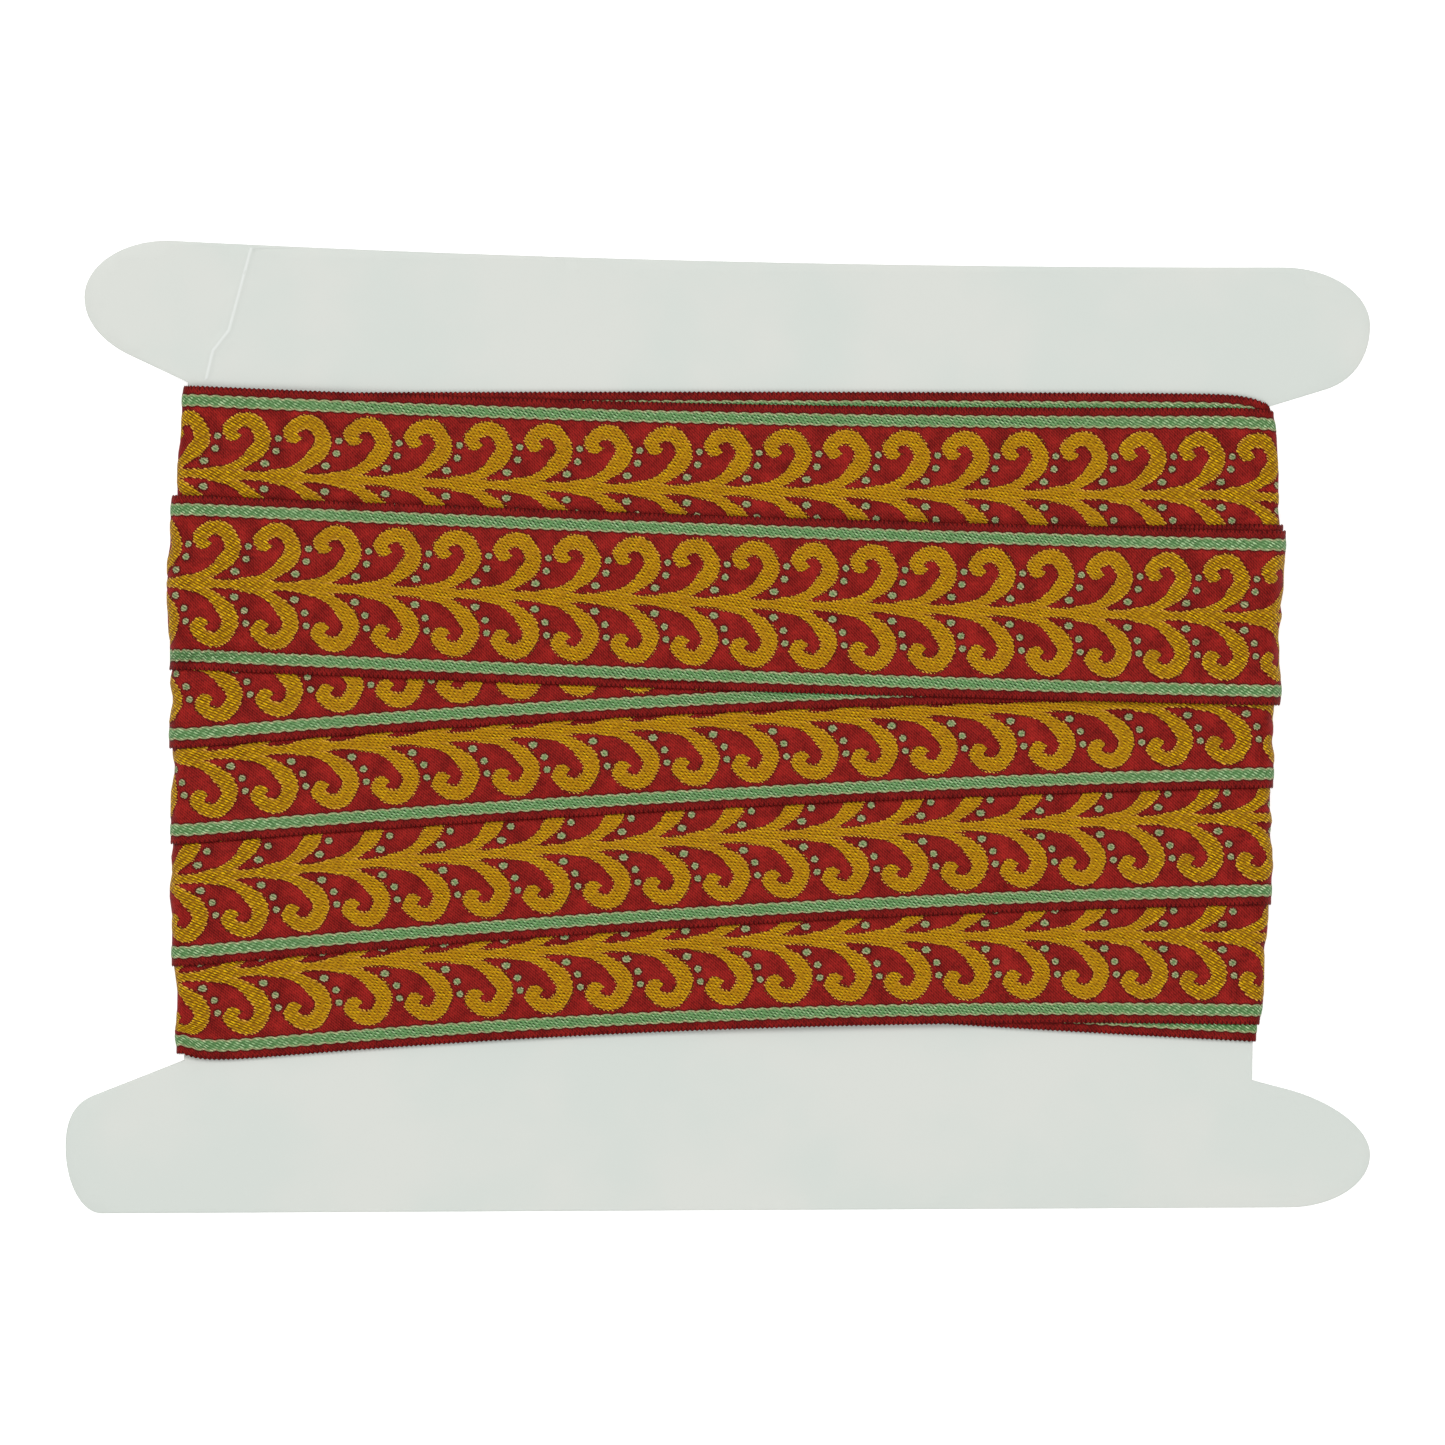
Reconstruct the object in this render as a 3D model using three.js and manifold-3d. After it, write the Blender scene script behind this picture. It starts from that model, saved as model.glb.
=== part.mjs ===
// A length of patterned trim, wound flat round a white winding card with four rounded wings.
// Millimetres, +Z up. The card lies flat with its front straps up, on the straps of its back.
// X runs along the straps and Y across them. The origin is under the middle of the whole object.

import * as THREE from "three";
import { mergeVertices } from "three/addons/utils/BufferGeometryUtils.js";
import Module from "manifold-3d";

// The trim
const TRIM_WIDTH = 25;
const TURN_THICKNESS = 0.45;
const STEEPEST_DRAPE = 0.16; // how fast a strap may fall off the edge of the one below it, mm per mm

// The card
const CARD_THICKNESS = 1;
const WAIST_WIDTH = 152.7; // between the two edges that the trim is wound round
const WAIST_SHIFT = 0.8; // how far right of the origin the waist's middle lies
const WAIST_LEAN = 0.0175; // how far those edges lean to the right for each mm up the card

// How the two lie together
const CLEARANCE = 0.3; // between the card's faces and the innermost turn
const EDGE_CLEARANCE = 0.5; // between the card's waist edges and the innermost turn
const EDGE_EASE = 0.15; // how much further each turn stands off round the edge than on a face
const BACK_DEPTH = 2.85; // from the card's back to the surface, where the back straps are pressed flat

// How finely the solids are cut
const POINTS_ACROSS = 9;
const FACE_STATIONS = 5;
const BEND_STEPS = 6;
const NOSE_STEPS = 8;

// The winding, in the order in which it was wound: each row is one strap on the front of the card,
// with the Y of its middle line at the card's left edge, half way along, and at its right edge.
const FRONT_STRAPS = [
  // up the card
  { left: -31.8, middle: -29.0, right: -26.8 },
  { left: -11.8, middle: -8.5, right: -6.1 },
  { left: 9.6, middle: 13.2, right: 16.0 },
  { left: 26.8, middle: 28.5, right: 29.6 },
  { left: 35.3, middle: 35.5, right: 33.4 },
  // down again
  { left: 36.2, middle: 33.8, right: 33.1 },
  { left: 19.9, middle: 16.5, right: 12.5 },
  { left: 7.9, middle: 3.6, right: -1.1 },
  { left: -6.1, middle: -11.2, right: -16.4 },
  { left: -21.8, middle: -27.8, right: -32.1 },
  // and up once more, the straps that show
  { left: -34.6, middle: -30.6, right: -29.7 },
  { left: -21.6, middle: -15.8, right: -12.8 },
  { left: -4.0, middle: 1.1, right: 3.9 },
  { left: 9.7, middle: 14.8, right: 16.5 },
  { left: 20.9, middle: 18.0, right: 15.9 },
];

// The loose end crosses part of the back and lies flat under the card
const LOOSE_END = { left: 12.5, reach: 0.62 };

// The card's wings: where the outer edge starts to round off, the wing's tip, where the round meets
// the wing's inner edge, and the corner where that edge meets the waist.
const WINGS = {
  bottomRight: {
    edge: [81.7, -68.75],
    tip: [93.4, -61.2],
    inner: [81.5, -51.7],
    waist: [76.3, -50.4],
  },
  topRight: {
    edge: [83.2, 65.55],
    tip: [93.4, 57.5],
    inner: [86.6, 47.9],
    waist: [77.95, 46.3],
  },
  topLeft: {
    edge: [-81, 69.6],
    tip: [-90.7, 60.8],
    inner: [-83.3, 52.3],
    waist: [-74.7, 49.1],
  },
  bottomLeft: {
    edge: [-88.2, -69.6],
    tip: [-93.4, -60.1],
    inner: [-89.4, -52.7],
    waist: [-76.4, -47.6],
  },
};
const TOP_EDGE_BOW = [-2.5, 65.4]; // the point that the slightly hollow top edge is drawn towards
const ROUND = 0.5523; // the handle of a cubic that follows a quarter of an ellipse
const INNER_HANDLE = 0.55; // the same for the blend from a tip to the wing's inner edge

const CARD_BACK = BACK_DEPTH;
const CARD_MIDDLE = CARD_BACK + CARD_THICKNESS / 2;

const trimMaterial = new THREE.MeshStandardMaterial({
  color: 0x8c1b21,
  roughness: 0.75,
  metalness: 0,
});
const cardMaterial = new THREE.MeshStandardMaterial({
  color: 0xd9dfd9,
  roughness: 0.5,
  metalness: 0,
});

const wasm = await Module();
wasm.setup();

function solidOf(geometry) {
  const plain = geometry.clone();
  plain.deleteAttribute("normal");
  plain.deleteAttribute("uv");
  const merged = mergeVertices(plain);
  return new wasm.Manifold(
    new wasm.Mesh({
      numProp: 3,
      vertProperties: merged.attributes.position.array,
      triVerts: new Uint32Array(merged.index.array),
    }),
  );
}

function geometryOf(solid) {
  const mesh = solid.getMesh();
  const geometry = new THREE.BufferGeometry();
  geometry.setAttribute("position", new THREE.BufferAttribute(mesh.vertProperties, 3));
  geometry.setIndex(new THREE.BufferAttribute(mesh.triVerts, 1));
  geometry.computeVertexNormals();
  return geometry;
}

// The card

// The round of a wing from its outer edge to its inner edge, or the other way round
function addWingRound(shape, wing, goingIn) {
  const { edge, tip, inner, waist } = wing;
  const rise = tip[1] - edge[1];
  const edgeHandle = [edge[0] + ROUND * (tip[0] - edge[0]), edge[1]];
  const tipHandleOut = [tip[0], tip[1] - ROUND * rise];
  const tipHandleIn = [tip[0], tip[1] + INNER_HANDLE * (inner[1] - tip[1])];
  const along = new THREE.Vector2(inner[0] - waist[0], inner[1] - waist[1]).normalize();
  const span = INNER_HANDLE * Math.hypot(tip[0] - inner[0], tip[1] - inner[1]);
  const innerHandle = [inner[0] + span * along.x, inner[1] + span * along.y];
  if (goingIn) {
    shape.lineTo(...edge);
    shape.bezierCurveTo(...edgeHandle, ...tipHandleOut, ...tip);
    shape.bezierCurveTo(...tipHandleIn, ...innerHandle, ...inner);
    shape.lineTo(...waist);
  } else {
    shape.lineTo(...waist);
    shape.lineTo(...inner);
    shape.bezierCurveTo(...innerHandle, ...tipHandleIn, ...tip);
    shape.bezierCurveTo(...tipHandleOut, ...edgeHandle, ...edge);
  }
}

function buildCard() {
  const outline = new THREE.Shape();
  outline.moveTo(...WINGS.bottomLeft.edge);
  addWingRound(outline, WINGS.bottomRight, true);
  addWingRound(outline, WINGS.topRight, false);
  outline.quadraticCurveTo(...TOP_EDGE_BOW, ...WINGS.topLeft.edge);
  addWingRound(outline, WINGS.topLeft, true);
  addWingRound(outline, WINGS.bottomLeft, false);
  const geometry = new THREE.ExtrudeGeometry(outline, {
    depth: CARD_THICKNESS,
    bevelEnabled: false,
    curveSegments: NOSE_STEPS,
  });
  geometry.translate(0, 0, CARD_BACK);
  return new THREE.Mesh(geometryOf(solidOf(geometry)), cardMaterial);
}

// The path of the trim's middle line. Along a face, s runs from 0 to 1 the way the trim was wound:
// left to right on the front, right to left on the back.

function frontY(strap, s) {
  const { left, middle, right } = strap;
  const halfway = 4 * s * (1 - s);
  return left * (1 - s) * (1 - 2 * s) + middle * halfway + right * s * (2 * s - 1);
}

const slopeAtLeft = ({ left, middle, right }) => -3 * left + 4 * middle - right;
const slopeAtRight = ({ left, middle, right }) => left - 4 * middle + 3 * right;

// On the back the line leaves one front strap and meets the next without a corner
function backY(strap, nextLeft, nextSlope, s) {
  const s2 = s * s;
  const s3 = s2 * s;
  return (
    (2 * s3 - 3 * s2 + 1) * strap.right +
    (s3 - 2 * s2 + s) * slopeAtRight(strap) +
    (3 * s2 - 2 * s3) * nextLeft +
    (s3 - s2) * nextSlope
  );
}

// The depth of cloth wound so far, as one profile up the card for each place along a face. The
// profiles at the two edges serve both faces, because each strap passes the edge at one height.

const CELL = 0.25;
const PROFILE_REACH = 60;
const CELLS = (2 * PROFILE_REACH) / CELL + 1;
const cellOf = (y) => Math.round((y + PROFILE_REACH) / CELL);
const HALF_CELLS = Math.round(TRIM_WIDTH / 2 / CELL);

const newProfile = () => new Float64Array(CELLS).fill(CLEARANCE);
const leftDepths = newProfile();
const rightDepths = newProfile();
const middleDepths = () => Array.from({ length: FACE_STATIONS - 2 }, newProfile);
const frontDepths = [leftDepths, ...middleDepths(), rightDepths];
const backDepths = [rightDepths, ...middleDepths(), leftDepths];

// Lay a strap over one profile: it rests on what is there and falls off edges only gently
function drape(profile, centre) {
  const first = cellOf(centre) - HALF_CELLS;
  const draped = Array.from(profile.slice(first, first + 2 * HALF_CELLS + 1));
  const fall = STEEPEST_DRAPE * CELL;
  for (let i = 1; i < draped.length; i++) draped[i] = Math.max(draped[i], draped[i - 1] - fall);
  for (let i = draped.length - 2; i >= 0; i--)
    draped[i] = Math.max(draped[i], draped[i + 1] - fall);
  return draped.map((depth) => depth + TURN_THICKNESS);
}

function settle(profile, centre, draped) {
  const first = cellOf(centre) - HALF_CELLS;
  draped.forEach((depth, i) => (profile[first + i] = Math.max(profile[first + i], depth)));
}

// Lay a strap along a face that it reaches with the depths in start, and return its depth across
// its width at each station. Between the edges it is taut, so it never dips below a straight line.
function layFace(profiles, centres, start) {
  const last = centres.length - 1;
  const end = drape(profiles[last], centres[last]);
  return centres.map((centre, i) => {
    if (i === 0) return start;
    const share = i / last;
    const resting = i === last ? end : drape(profiles[i], centre);
    const depths = resting.map((depth, j) =>
      Math.max(depth, start[j] + share * (end[j] - start[j])),
    );
    settle(profiles[i], centre, depths);
    return depths;
  });
}

// The solid of a strap: it fills the space between the card and the strap's outer face, so that
// all straps together are one solid. A section is one line across the strap.

const across = Array.from(
  { length: POINTS_ACROSS },
  (_, i) => TRIM_WIDTH * (i / (POINTS_ACROSS - 1) - 0.5),
);
const depthAt = (depths, offset) => depths[Math.round(HALF_CELLS + offset / CELL)];
const waistX = (y, side) => WAIST_SHIFT + WAIST_LEAN * y + (side * WAIST_WIDTH) / 2;

// A section on a face, at a share of the way from the left edge to the right edge
function faceSection(centre, depths, rightward, up) {
  const side = 2 * rightward - 1;
  const half = CARD_THICKNESS / 2;
  return across.map((offset) => {
    const y = centre + offset;
    const x = waistX(y, side);
    return {
      inner: [x, y, CARD_MIDDLE + up * (half + CLEARANCE)],
      outer: [x, y, CARD_MIDDLE + up * (half + depthAt(depths, offset))],
    };
  });
}

// A section round the card's edge, at an angle that falls from a quarter turn at the front
function bendSection(centre, depths, side, angle) {
  const half = CARD_THICKNESS / 2;
  const out = side * Math.cos(angle);
  const up = Math.sin(angle);
  return across.map((offset) => {
    const y = centre + offset;
    const depth = depthAt(depths, offset);
    return {
      inner: [
        waistX(y, side) + out * EDGE_CLEARANCE,
        y,
        CARD_MIDDLE + up * (half + CLEARANCE),
      ],
      outer: [
        waistX(y, side) + out * (depth + EDGE_EASE),
        y,
        CARD_MIDDLE + up * (half + depth),
      ],
    };
  });
}

// Join sections into one closed body
function loft(sections) {
  const positions = [];
  const indices = [];
  const points = across.length;
  const ring = 2 * points;
  for (const section of sections) {
    for (const { outer } of section) positions.push(...outer);
    for (const { inner } of [...section].reverse()) positions.push(...inner);
  }
  const quad = (a, b, c, d) => indices.push(a, b, c, a, c, d);
  for (let i = 0; i < sections.length - 1; i++)
    for (let j = 0; j < ring; j++) {
      const next = (j + 1) % ring;
      quad(i * ring + j, (i + 1) * ring + j, (i + 1) * ring + next, i * ring + next);
    }
  const end = (sections.length - 1) * ring;
  for (let j = 0; j < points - 1; j++) {
    quad(j, j + 1, ring - 2 - j, ring - 1 - j);
    quad(end + j, end + ring - 1 - j, end + ring - 2 - j, end + j + 1);
  }
  const geometry = new THREE.BufferGeometry();
  geometry.setAttribute("position", new THREE.Float32BufferAttribute(positions, 3));
  geometry.setIndex(indices);
  return solidOf(geometry);
}

function bendSections(centre, depths, side, fromFront) {
  const sections = [];
  for (let i = 1; i <= BEND_STEPS; i++) {
    const turned = Math.PI / 2 - (Math.PI * i) / BEND_STEPS;
    sections.push(bendSection(centre, depths, side, fromFront ? turned : -turned));
  }
  return sections;
}

// Each face with the bend after it is one body, which starts inside the bend before it
function windTrim() {
  const shares = Array.from({ length: FACE_STATIONS }, (_, i) => i / (FACE_STATIONS - 1));
  const first = FRONT_STRAPS[0].left;
  let atLeft = drape(leftDepths, first);
  settle(leftDepths, first, atLeft);

  const bodies = [];
  let carried = [faceSection(first, atLeft, 0, 1)];
  const addBody = (sections) => {
    bodies.push(loft([...carried, ...sections]));
    carried = sections.slice(-2);
  };

  FRONT_STRAPS.forEach((strap, k) => {
    const frontCentres = shares.map((s) => frontY(strap, s));
    const front = layFace(frontDepths, frontCentres, atLeft);
    const frontSections = shares.map((s, i) => faceSection(frontCentres[i], front[i], s, 1));
    const atRight = front[FACE_STATIONS - 1];
    addBody([...frontSections.slice(1), ...bendSections(strap.right, atRight, 1, true)]);

    const next = FRONT_STRAPS[k + 1];
    const nextLeft = next ? next.left : LOOSE_END.left;
    const nextSlope = next ? slopeAtLeft(next) : 0;
    const backCentres = shares.map((s) => backY(strap, nextLeft, nextSlope, s));
    const back = layFace(backDepths, backCentres, atRight);
    const backSections = shares.map((s, i) => faceSection(backCentres[i], back[i], 1 - s, -1));
    if (next) {
      atLeft = back[FACE_STATIONS - 1];
      addBody([...backSections.slice(1), ...bendSections(next.left, atLeft, -1, false)]);
    } else {
      const kept = shares.filter((s) => s <= LOOSE_END.reach).length;
      addBody(backSections.slice(1, kept));
    }
  });
  return bodies.reduce((whole, body) => whole.add(body));
}

function buildTrim() {
  const surface = new THREE.BoxGeometry(2 * WAIST_WIDTH, 2 * WAIST_WIDTH, 2 * BACK_DEPTH);
  surface.translate(0, 0, -BACK_DEPTH);
  const pressedFlat = windTrim().subtract(solidOf(surface));
  return new THREE.Mesh(geometryOf(pressedFlat), trimMaterial);
}

const windingCard = buildCard();
windingCard.name = "winding_card";
const woundTrim = buildTrim();
woundTrim.name = "wound_trim";

const braidTrimOnCard = new THREE.Group();
braidTrimOnCard.add(windingCard, woundTrim);

export default braidTrimOnCard;
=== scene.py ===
"""A length of patterned woven trim, wound flat round a white winding card with four rounded wings.

Sizes in this file are millimetres, turned into metres where a mesh or light is made. X runs along
the straps, Y across them and Z up. The card lies flat with its front straps up.
"""

import math

import bpy
import numpy as np
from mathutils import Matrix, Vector
from mathutils.geometry import delaunay_2d_cdt


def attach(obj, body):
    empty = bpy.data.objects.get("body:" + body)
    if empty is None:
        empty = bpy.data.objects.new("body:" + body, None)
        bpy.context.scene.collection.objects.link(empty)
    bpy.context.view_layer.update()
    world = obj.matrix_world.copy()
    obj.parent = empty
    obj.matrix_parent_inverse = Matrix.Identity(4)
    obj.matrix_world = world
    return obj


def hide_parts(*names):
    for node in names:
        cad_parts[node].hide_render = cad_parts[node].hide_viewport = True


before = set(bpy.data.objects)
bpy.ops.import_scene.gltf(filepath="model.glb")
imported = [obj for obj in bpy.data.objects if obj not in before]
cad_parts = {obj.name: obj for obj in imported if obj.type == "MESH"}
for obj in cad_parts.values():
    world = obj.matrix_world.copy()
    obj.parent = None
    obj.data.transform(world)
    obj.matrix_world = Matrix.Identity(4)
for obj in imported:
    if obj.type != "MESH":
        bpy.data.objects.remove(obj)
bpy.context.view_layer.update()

MM = 0.001

# The trim, as in the part's source
TRIM_WIDTH = 25
TURN_THICKNESS = 0.45
STEEPEST_DRAPE = 0.16

# The card and how the trim lies on it, as in the part's source
CARD_THICKNESS = 1
WAIST_WIDTH = 152.7
WAIST_SHIFT = 0.8
WAIST_LEAN = 0.0175
CLEARANCE = 0.3
EDGE_EASE = 0.15
CARD_BACK = 2.85
CARD_MIDDLE = CARD_BACK + CARD_THICKNESS / 2

# The winding, in the order in which it was wound: the Y of each front strap's middle line at the
# card's left edge, half way along, and at its right edge. A strap that shows also has the X where
# the crown of a scroll lies, whether that crown is on the upper or the lower side of the vine, and how
# much tighter the repeats follow each other than on the strap that shows most.
# late_drop is how far a strap falls where it rounds the right edge: the share ON_FACE of it still on
# the face, dying away leftwards over LATE of its run.
UPPER, LOWER = 1, -1
LATE = 0.016
ON_FACE = 0.32
FRONT_COURSES = [
    # up the card
    (-31.8, -29.0, -26.8, {}),
    (-11.8, -8.5, -6.1, {}),
    (9.6, 13.2, 16.0, {}),
    (26.8, 28.5, 29.6, {}),
    (35.3, 35.5, 31.5, dict(late_drop=3.7)),
    # down again
    (36.35, 33.8, 32.3, dict(late_drop=1.0, crown=1.5, side=UPPER, tight=-0.0025)),
    (19.9, 16.5, 12.5, {}),
    (7.9, 3.6, -1.1, {}),
    (-6.1, -11.2, -16.4, {}),
    (-21.8, -27.8, -32.45, {}),
    # and up once more, the straps that show
    (-35.75, -30.75, -30.05, dict(crown=1.75, side=LOWER, tight=-0.0065)),
    (-21.7, -15.9, -12.9, dict(crown=1.45, side=LOWER, tight=-0.003)),
    (-4.2, 0.9, 3.8, dict(crown=-2.95, side=LOWER, tight=-0.002)),
    (9.5, 14.6, 16.5, dict(crown=-19.5, side=LOWER, tight=0)),
    (20.7, 17.75, 15.65, dict(crown=-3.0, side=UPPER, tight=0.005)),
]
FRONT_STRAPS = [dict(left=a, middle=b, right=c, **more) for a, b, c, more in FRONT_COURSES]
LOOSE_END = dict(left=12.5, reach=0.62)

# From this turn on the winding stands off the card's edges in the upper part: by how much more than
# elsewhere, from which Y up, and the Y where it has its full size
FIRST_LOOSE_TURN = 4
STAND_OFF = [
    dict(side=-1, by=0.8, above=0, full=26),
    dict(side=1, by=0.9, above=22, full=30),
    dict(side=1, by=-0.4, above=35, full=43),
]

# The lower left corner of the lowest strap curls in: its turn, how far from the strap's middle line
# the curl begins and is full, how far it draws the edge in, over which share of the strap's run it
# dies away, and how far the edge rises for each millimetre that it is drawn in
CURL = dict(turn=10, start=6.0, full=10.4, draws_in=1.5, run=0.018, rise=0.3)

# How finely each strap is meshed: the outermost ones show, the edges of two more, the rest are hidden
FINE, MEDIUM, COARSE = "fine", "medium", "coarse"
DETAIL = {4: MEDIUM, 9: MEDIUM, 5: FINE, 10: FINE, 11: FINE, 12: FINE, 13: FINE, 14: FINE}
FACE_COLUMNS = {FINE: 457, MEDIUM: 457, COARSE: 115}
BEND_COLUMNS = {FINE: 22, MEDIUM: 22, COARSE: 8}

# The repeat of the pattern
REPEAT = 8.5
SCROLL_STARTS = -4.98  # where a repeat is cut, measured from the crown of its scroll
CROWN_HEIGHT = 9.0
PITCH_LEAN = 0.000121  # the cloth is drawn a little tighter towards the right
DRAWN = 1.004  # how much longer the cloth lies than it is charted


# General helpers

# The screen's curve: straight up to a level, and a power above it
SCREEN = dict(straight_to=0.04045, divisor=12.92, offset=0.055, power=2.4)


def srgb(red, green, blue):
    """A colour as the screen shows it, 0 to 255, as the shader's linear colour."""
    linear = []
    for level in (red / 255, green / 255, blue / 255):
        bent = ((level + SCREEN["offset"]) / (1 + SCREEN["offset"])) ** SCREEN["power"]
        linear.append(level / SCREEN["divisor"] if level <= SCREEN["straight_to"] else bent)
    return (*linear, 1)


def smoothstep(values, low, high):
    """0 below low, 1 above high, and smooth in between."""
    t = np.clip((values - low) / (high - low), 0, 1)
    return t * t * (3 - 2 * t)


def add_object(name, data):
    made = bpy.data.objects.new(name, data)
    bpy.context.scene.collection.objects.link(made)
    return made


def mesh_from(name, points, faces):
    """A smooth-shaded mesh. Points are in millimetres, and faces a list of arrays of equal-sided faces."""
    sizes = np.concatenate([np.full(len(group), group.shape[1]) for group in faces])
    corners = np.concatenate([group.ravel() for group in faces]).astype(np.int32)
    starts = np.concatenate([[0], np.cumsum(sizes)[:-1]]).astype(np.int32)
    mesh = bpy.data.meshes.new(name)
    mesh.vertices.add(len(points))
    mesh.vertices.foreach_set("co", (points * MM).astype(np.float32).ravel())
    mesh.loops.add(len(corners))
    mesh.loops.foreach_set("vertex_index", corners)
    mesh.polygons.add(len(sizes))
    mesh.polygons.foreach_set("loop_start", starts)
    mesh.polygons.foreach_set("use_smooth", np.ones(len(sizes), bool))
    mesh.update(calc_edges=True)
    mesh.validate()
    return mesh


def add_uv(mesh, name, values):
    layer = mesh.uv_layers.new(name=name)
    layer.data.foreach_set("uv", values.astype(np.float32).ravel())


# Camera, light and floor

VIEW_WIDTH = 206.43  # what the photograph's frame spans at the height of the straps
VIEW_CENTRE = (0.67, 0.69)
STRAPS_TOP = 6.5
CAMERA_DISTANCE = 1300
SENSOR = 36
FARTHEST_SEEN = 20  # metres

# Two square soft lights, placed and sized in metres, in watts, and the even light all round
LIGHTS = [
    dict(name="key", place=(-0.7, 1.5, 2.8), size=1.6, power=47),
    dict(name="fill", place=(0.9, -1.7, 2.6), size=2.2, power=30),
]
ALL_ROUND = 0.45
FLOOR = dict(half=1500, grey=(0.6, 0.6, 0.6, 1), roughness=0.9, glow=0.7)
WHITE = (1, 1, 1, 1)


def add_camera():
    data = bpy.data.cameras.new("camera")
    data.sensor_width = SENSOR
    data.lens = SENSOR * CAMERA_DISTANCE / VIEW_WIDTH
    data.clip_end = FARTHEST_SEEN
    camera = add_object("camera", data)
    camera.location = Vector((*VIEW_CENTRE, STRAPS_TOP + CAMERA_DISTANCE)) * MM
    bpy.context.scene.camera = camera


def add_light(name, place, size, power):
    """A square soft light that points at the object."""
    data = bpy.data.lights.new(name, "AREA")
    data.size = size
    data.energy = power
    light = add_object(name, data)
    light.location = place
    light.rotation_euler = (-Vector(place)).to_track_quat("-Z", "Y").to_euler()


def add_studio():
    world = bpy.data.worlds.new("studio")
    world.use_nodes = True
    fill(world.node_tree.nodes["Background"], {"Color": WHITE, "Strength": ALL_ROUND})
    bpy.context.scene.world = world
    bpy.context.scene.view_settings.view_transform = "Standard"
    for light in LIGHTS:
        add_light(**light)

    half = FLOOR["half"]
    corners = np.array([(-half, -half, 0), (half, -half, 0), (half, half, 0), (-half, half, 0)])
    floor = add_object("floor", mesh_from("floor", corners, [np.array([[0, 1, 2, 3]])]))
    material, _, shader = new_material("floor")
    fill(shader, {"Base Color": FLOOR["grey"], "Roughness": FLOOR["roughness"]})
    fill(shader, {"Emission Color": WHITE, "Emission Strength": FLOOR["glow"]})
    floor.data.materials.append(material)


# Numbers worked out at each point: the same formulas serve arrays, for the cloth's relief, and
# shader sockets, for its colours


class Field:
    """A number that the shader works out at each point. Its arithmetic adds nodes."""

    def __init__(self, socket):
        self.socket = socket

    def math(self, operation, *others):
        tree = self.socket.id_data
        return Field(add_node(tree, "Math", enumerate((self, *others)), operation=operation).outputs[0])

    def __add__(self, other):
        return self.math("ADD", other)

    def __mul__(self, other):
        return self.math("MULTIPLY", other)

    def __sub__(self, other):
        return self.math("SUBTRACT", other)

    def __truediv__(self, other):
        return self.math("DIVIDE", other)

    def __rsub__(self, other):
        return self.math("MULTIPLY_ADD", -1, other)

    __radd__ = __add__
    __rmul__ = __mul__

    def __abs__(self):
        return self.math("ABSOLUTE")


def connect(value, slot):
    """Link a field or a socket to a slot, or set the slot to a constant."""
    if isinstance(value, Field):
        value = value.socket
    if isinstance(value, bpy.types.NodeSocket):
        slot.id_data.links.new(value, slot)
    else:
        slot.default_value = value


def fill(node, inputs):
    """Connect a node's inputs, by name or number."""
    for name, value in dict(inputs).items():
        connect(value, node.inputs[name])


def add_node(tree, kind, inputs=(), **settings):
    node = tree.nodes.new("ShaderNode" + kind)
    for name, value in settings.items():
        setattr(node, name, value)
    fill(node, inputs)
    return node


def either(operation, array_way):
    """A function that adds a node for a field, and works on arrays otherwise."""
    return lambda x, *others: x.math(operation, *others) if isinstance(x, Field) else array_way(x, *others)


root = either("SQRT", np.sqrt)
sine = either("SINE", np.sin)
whole = either("FLOOR", np.floor)
rest = either("FRACT", lambda x: x - np.floor(x))  # what is left above the whole number below x
direction = either("ARCTAN2", np.arctan2)
most = either("MAXIMUM", np.maximum)
least = either("MINIMUM", np.minimum)


def wave(x):
    """A sine that repeats every 1."""
    return sine(x * (2 * math.pi))


def wrap(x, start, length):
    """Bring x into the stretch of that length from start on, by whole lengths."""
    if isinstance(x, Field):
        return x.math("WRAP", start + length, start)
    return np.mod(x - start, length) + start


def angle(y, x):
    """Degrees, anticlockwise from +X."""
    return direction(y, x) * (180 / math.pi)


def ease(x, low, high):
    """0 below low, 1 above high, and smooth in between."""
    if not isinstance(x, Field):
        return smoothstep(x, low, high)
    inputs = {"From Min": low, "From Max": high, "Value": x}
    node = add_node(x.socket.id_data, "MapRange", inputs, interpolation_type="SMOOTHSTEP")
    return Field(node.outputs["Result"])


def blend(share, first, second):
    """The number that share of the way from the first to the second."""
    return first + (second - first) * share


CURVE_HEADROOM = 1.1  # the shader's curve reaches up to 1, so its points stay a little below


def charted(x, places, sizes):
    """Read a chart: the size at each place, straight between places in arrays, smoothed in shaders."""
    if not isinstance(x, Field):
        return np.interp(x, places, sizes)
    tallest = max(sizes) * CURVE_HEADROOM
    span = places[-1] - places[0]
    node = add_node(x.socket.id_data, "FloatCurve")
    curve = node.mapping.curves[0]
    for _ in places[2:]:
        curve.points.new(0.5, 0.5)
    for point, place, size in zip(curve.points, places, sizes):
        point.location = ((place - places[0]) / span, size / tallest)
    node.mapping.update()
    connect((x - places[0]) / span, node.inputs["Value"])
    return Field(node.outputs[0]) * tallest


# The chart of the pattern, as drawn. Its X is measured along the trim from the crown of a
# scroll, and its height from the vine's middle line. The lower half mirrors the upper one.

EYE = (-0.2, 5.7)  # the middle of a scroll

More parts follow.
